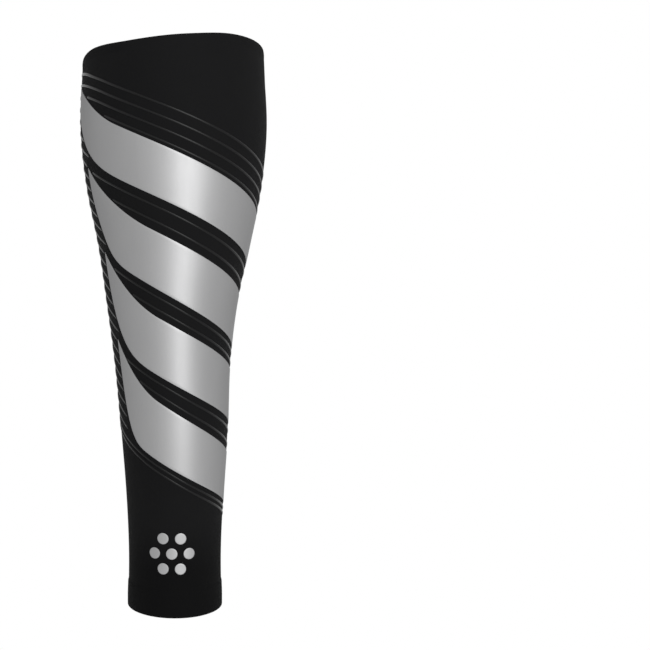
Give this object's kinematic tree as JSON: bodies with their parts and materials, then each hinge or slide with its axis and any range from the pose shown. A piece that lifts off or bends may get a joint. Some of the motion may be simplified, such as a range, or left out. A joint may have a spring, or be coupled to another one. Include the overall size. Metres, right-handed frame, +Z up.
{
  "type": "calf compression sleeve",
  "caption": "Black knitted calf sleeve in its worn form, open at knee and ankle, with slanted silver stripes, thin raised ribs and hem bands.",
  "frame": {"origin": "on the leg's axis at the widest girth of the calf", "axes": "+Z up the leg towards the knee, -Y the front of the shin, +X the inner side of the calf"},
  "size_m": [0.114, 0.1214, 0.333],
  "materials": {
    "black_knit": "fine matt elastic knit",
    "hem_knit": "matt double knit",
    "silver_film": "satin silver reflective film",
    "gloss_rib": "smooth black silicone"
  },
  "bodies": {
    "root": {"sleeve_body": "black_knit", "knee_cuff": "hem_knit", "ankle_cuff": "hem_knit", "stripe_1": "silver_film", "stripe_2": "silver_film", "stripe_3": "silver_film", "stripe_4": "silver_film", "shin_rib_1": "gloss_rib", "shin_rib_2": "gloss_rib", "shin_rib_3": "gloss_rib", "shin_rib_4": "gloss_rib", "shin_rib_5": "gloss_rib", "shin_rib_6": "gloss_rib", "shin_rib_7": "gloss_rib", "shin_rib_8": "gloss_rib", "shin_rib_9": "gloss_rib", "shin_rib_10": "gloss_rib", "ankle_rib_1": "gloss_rib", "ankle_rib_2": "gloss_rib", "side_rib_1": "gloss_rib", "side_rib_2": "gloss_rib", "side_rib_3": "gloss_rib", "side_rib_4": "gloss_rib", "side_rib_5": "gloss_rib", "side_rib_6": "gloss_rib", "side_rib_7": "gloss_rib", "side_rib_8": "gloss_rib", "side_rib_9": "gloss_rib", "side_rib_10": "gloss_rib", "side_rib_11": "gloss_rib", "side_rib_12": "gloss_rib", "side_rib_13": "gloss_rib", "side_rib_14": "gloss_rib", "side_rib_15": "gloss_rib", "side_rib_16": "gloss_rib", "side_rib_17": "gloss_rib", "side_rib_18": "gloss_rib", "side_rib_19": "gloss_rib", "side_rib_20": "gloss_rib", "side_rib_21": "gloss_rib", "side_rib_22": "gloss_rib", "side_rib_23": "gloss_rib", "side_rib_24": "gloss_rib", "side_rib_25": "gloss_rib", "side_rib_26": "gloss_rib", "side_rib_27": "gloss_rib", "mark_dot_1": "silver_film", "mark_dot_2": "silver_film", "mark_dot_3": "silver_film", "mark_dot_4": "silver_film", "mark_dot_5": "silver_film", "mark_dot_6": "silver_film", "mark_dot_7": "silver_film"}
  },
  "joints": []
}
